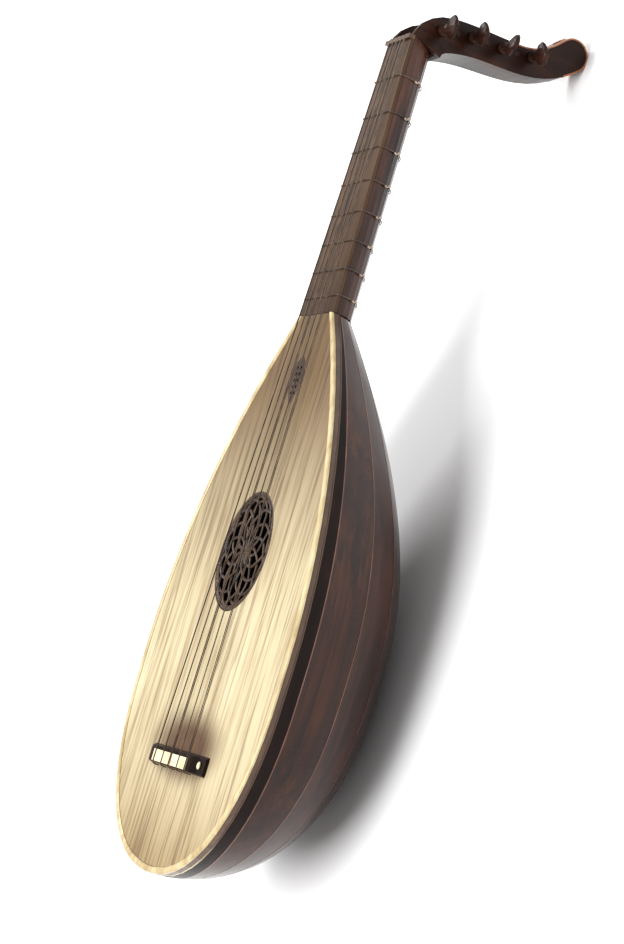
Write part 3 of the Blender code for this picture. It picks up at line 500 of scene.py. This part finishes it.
def joint_line(k, samples=90, last=0.4684):
    """Strip along rib joint k at the angle e + k (pi - 2e)/9, with sin e = band height / depth."""
    half, proud, sunk = 0.5 * MM, 0.12 * MM, 0.5 * MM
    rows = []
    for s in np.linspace(0.0006, 1.0, samples) ** 0.8 * last:
        edge = edge_angle(s)
        angle = edge + k * (pi - 2 * edge) / 9
        middle, n = bowl_point(s, angle), bowl_normal(s, angle)
        across = bowl_point(s, angle + 1e-4) - bowl_point(s, angle - 1e-4)
        across /= np.linalg.norm(across)
        rows.append([middle - half * across - sunk * n, middle - half * across + proud * n,
                     middle + half * across + proud * n, middle + half * across - sunk * n])
    return np.array(rows)


spacer_wood = wood("spacer_wood", [(0.2, (0.05, 0.016, 0.008)), (0.5, (0.12, 0.04, 0.02)),
                                   (0.85, (0.25, 0.11, 0.06))], (1.0, 0.15, 1.0), 150, 20, 0.3, 0.4)[0]
for k in range(10):
    line = surface(f"rib_joint_{k + 1}", joint_line(k), closed_v=True, caps=True)
    line.data.materials.append(spacer_wood)
    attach(line, "lute")


# Fret knots: each gut fret is tied with a small knot low on the neck's +X side, coloured pale as a painted highlight
# for the light stroke at each fret. The knots slide with their frets.
knot_gut_painted_highlight = wood("knot_gut_painted_highlight", [(0.2, (0.35, 0.22, 0.15)), (0.5, (0.55, 0.40, 0.32)), (0.85, (0.75, 0.62, 0.52))],
                (1.0, 1.0, 1.0), 400, 90, 0.45)[0]
for n in range(1, 9):
    y = 0.241 - 0.611 * (1 - 2 ** (-n / 12))
    half = 0.0345 - 0.011 * y / 0.241 + 0.95 * MM
    path = []
    for t in np.linspace(0, 1, 21):
        wind = 2 * pi * 2 * t
        out = half * cos(0.35 + 0.25 * t) + 0.55 * MM * cos(wind)
        path.append((out, y + 0.9 * MM * sin(wind) + (t - 0.5) * 2.4 * MM, -0.0045 - 0.0275 * sin(0.35 + 0.25 * t)))
    knot = surface(f"fret_knot_{n}", tube_grid(path, 0.42 * MM, 8), closed_v=True, caps=True)
    knot.data.materials.append(knot_gut_painted_highlight)
    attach(knot, f"tied_fret_{n}")


# Pegbox tip: orange edges of both cheeks round the tip, partly wear and partly a painted highlight for the light
# along the tip's outline, and a dark round eye with an orange ring of the same painted highlight on the end block, at
# the end of the curve.
PEGBOX_LINE = [(-2.5, -15.0, 30.0), (5.5, -18.6, 30.5), (12.0, -27.5, 30.0), (16.0, -43.0, 28.0),
               (18.3, -62.0, 26.0), (19.5, -85.0, 25.0), (21.3, -106.0, 24.5), (26.3, -124.0, 25.5),
               (34.5, -138.0, 27.5), (44.5, -149.5, 29.0)]


def pegbox_frames(per_span=2):
    """Catmull-Rom spline through the pegbox's centreline, then a quarter round of half the last depth."""
    knots = np.array(PEGBOX_LINE)
    padded = np.vstack([2 * knots[0] - knots[1], knots, 2 * knots[-1] - knots[-2]])
    out = []
    for k in range(len(knots) - 1):
        p0, p1, p2, p3 = padded[k:k + 4]
        for t in np.arange(per_span) / per_span:
            out.append(0.5 * (2 * p1 + (p2 - p0) * t + (2 * p0 - 5 * p1 + 4 * p2 - p3) * t ** 2
                              + (3 * p1 - p0 - 3 * p2 + p3) * t ** 3))
    out.append(knots[-1])
    line = np.array(out) * MM + np.array([0.241, 0, 0])
    tangent = np.gradient(line[:, :2], axis=0)
    tangent /= np.linalg.norm(tangent, axis=1)[:, None]
    frames = [(p[:2], np.array([-t[1], t[0]]), p[2]) for p, t in zip(line, tangent)]
    last, radius = tangent[-1], line[-1, 2] / 2
    for k in range(1, 6):
        turn = pi / 2 * k / 5.6
        frames.append((line[-1, :2] + last * radius * sin(turn), frames[len(line) - 1][1], 2 * radius * cos(turn)))
    return frames


FRAMES = pegbox_frames()


def tip_edge(side, first=11, back=3):
    """Orange strip on a cheek's edge, worn wood with a painted highlight: the front edge from a frame on, round the
    tip and a little way back.
    """
    front = [p + d / 2 * n for p, n, d in FRAMES[first:]]
    rear = [p - d / 2 * n for p, n, d in FRAMES[len(FRAMES) - 5 - back:]][::-1]
    outline = np.array(front + rear)
    slope = np.gradient(outline, axis=0)
    slope /= np.linalg.norm(slope, axis=1)[:, None]
    out = np.stack([-slope[:, 1], slope[:, 0]], axis=1)
    steps = np.linalg.norm(np.diff([f[0] for f in FRAMES], axis=0), axis=1)
    share = np.concatenate([[0], np.cumsum(steps)]) / steps.sum()
    places = list(share[first:]) + list(share[len(FRAMES) - 5 - back:])[::-1]
    rows = []
    for q, o, u in zip(outline, out, places):
        outer = (23.5 - 11.0 * u) * MM
        rows.append([np.array([side * (outer - x), *(q + h * o)])
                     for x, h in ((-0.15 * MM, -1.2 * MM), (-0.15 * MM, 0.1 * MM), (0.8 * MM, 0.3 * MM),
                                  (4.2 * MM, 0.3 * MM), (4.9 * MM, 0.1 * MM), (4.9 * MM, -1.2 * MM))])
    return np.array(rows)


for side, word in ((1, "right"), (-1, "left")):
    strip = surface(f"pegbox_worn_edge_{word}", tip_edge(side), closed_v=True, caps=True)
    strip.data.materials.append(worn_and_lit_edge)
    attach(strip, "lute")


def turned_on_tip(profile, centre, n, samples=36):
    """Surface of revolution about the tip's front normal n: each (r, h) turns into a circle."""
    axis = np.array([0, n[0], n[1]])
    u, v = np.array([1.0, 0, 0]), np.cross(axis, (1.0, 0, 0))
    rows = []
    for t in 2 * pi * np.arange(samples) / samples:
        rows.append([centre + r * (cos(t) * u + sin(t) * v) + h * axis for r, h in profile])
    return np.array(rows)


tip, tip_normal, tip_depth = FRAMES[-6]
eye_centre = np.array([0, *(tip + tip_depth / 2 * tip_normal)])
ring = surface("tip_eye_ring", turned_on_tip([(5.0 * MM, -0.5 * MM), (5.0 * MM, 0.5 * MM), (5.5 * MM, 0.9 * MM),
                                              (6.2 * MM, 0.5 * MM), (6.2 * MM, -0.5 * MM)], eye_centre, tip_normal),
               closed_u=True, closed_v=True)
ring.data.materials.append(worn_and_lit_edge)
eye = surface("tip_eye", turned_on_tip([(r * MM, (0.9 * cos(r / 4.9 * pi / 2)) * MM) for r in
                                        (0.02, 1.2, 2.4, 3.6, 4.9)] + [(4.9 * MM, -0.5 * MM), (0.02 * MM, -0.5 * MM)],
                                       eye_centre, tip_normal), closed_u=True, closed_v=True)
eye.data.materials.append(black_wood)
for piece in (ring, eye):
    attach(piece, "lute")


# Rose: twelve interlaced rings, each a grooved strap, over and under its neighbours in turn, inside a
# beaded border. It stands for the pierced CAD rose and fills the same round hole.
ROSE_CENTRE = np.array([0.0, -0.203, -0.0009])
ROSE_RADIUS = 50.4 * MM
RINGS = 12


def rose_ring(k, samples=120):
    """One strap of the rose.

    Centre a (cos kd, sin kd), radius b, d = 30 degrees. Seen from the strap's own outward direction it
    crosses ring k + m near the angle m d, so the height h(f) = A cos(pi f / d) sign(f) beyond one step,
    and -A sin(pi f / 2d) within it, is odd: each crossing finds one strap up and the other down.
    """
    a, b, d = 23.2 * MM, 23.6 * MM, 2 * pi / RINGS
    lift = 0.45 * MM
    f = np.linspace(-pi, pi, samples, endpoint=False)
    height = np.where(np.abs(f) < d, -np.sin(pi * f / (2 * d)), np.sign(f) * np.cos(pi * f / d)) * lift
    toward = k * d
    profile = np.array([(-1.25, -0.55), (-1.25, 0.15), (-0.95, 0.45), (-0.35, 0.42), (0.0, 0.12), (0.35, 0.42),
                        (0.95, 0.45), (1.25, 0.15), (1.25, -0.55)]) * MM
    rows = []
    for angle, h in zip(f, height):
        out = np.array([cos(angle + toward), sin(angle + toward), 0])
        middle = ROSE_CENTRE + a * np.array([cos(toward), sin(toward), 0]) + b * out
        rows.append([middle + r * out + np.array([0, 0, h + z]) for r, z in profile])
    return np.array(rows)


rose_parts = []
for k in range(RINGS):
    rose_parts.append(surface(f"rose_ring_{k + 1}", rose_ring(k), closed_u=True, closed_v=True))


def border_grid(radius, width, top, beads, depth, samples=288):
    """Round border: a closed section turned round the rose, its crown waved as top + depth cos(beads t)."""
    rows = []
    for t in 2 * pi * np.arange(samples) / samples:
        crown = top + depth * cos(beads * t)
        section = [(-width, -1.0 * MM), (-width, crown * 0.4), (-0.5 * width, crown), (0.5 * width, crown),
                   (width, crown * 0.4), (width, -1.0 * MM)]
        rows.append([ROSE_CENTRE + np.array([(radius + r) * cos(t), (radius + r) * sin(t), z])
                     for r, z in section])
    return np.array(rows)


rose_parts.append(surface("rose_border", border_grid(ROSE_RADIUS - 1.4 * MM, 1.4 * MM, 0.75 * MM, 72, 0.2 * MM),
                          closed_u=True, closed_v=True))
rose_parts.append(surface("rose_eye", border_grid(2.6 * MM, 2.1 * MM, 1.1 * MM, 12, 0.3 * MM, 96),
                          closed_u=True, closed_v=True))
for part in rose_parts:
    part.data.materials.append(rose_wood)
    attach(part, "lute")
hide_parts("rose")
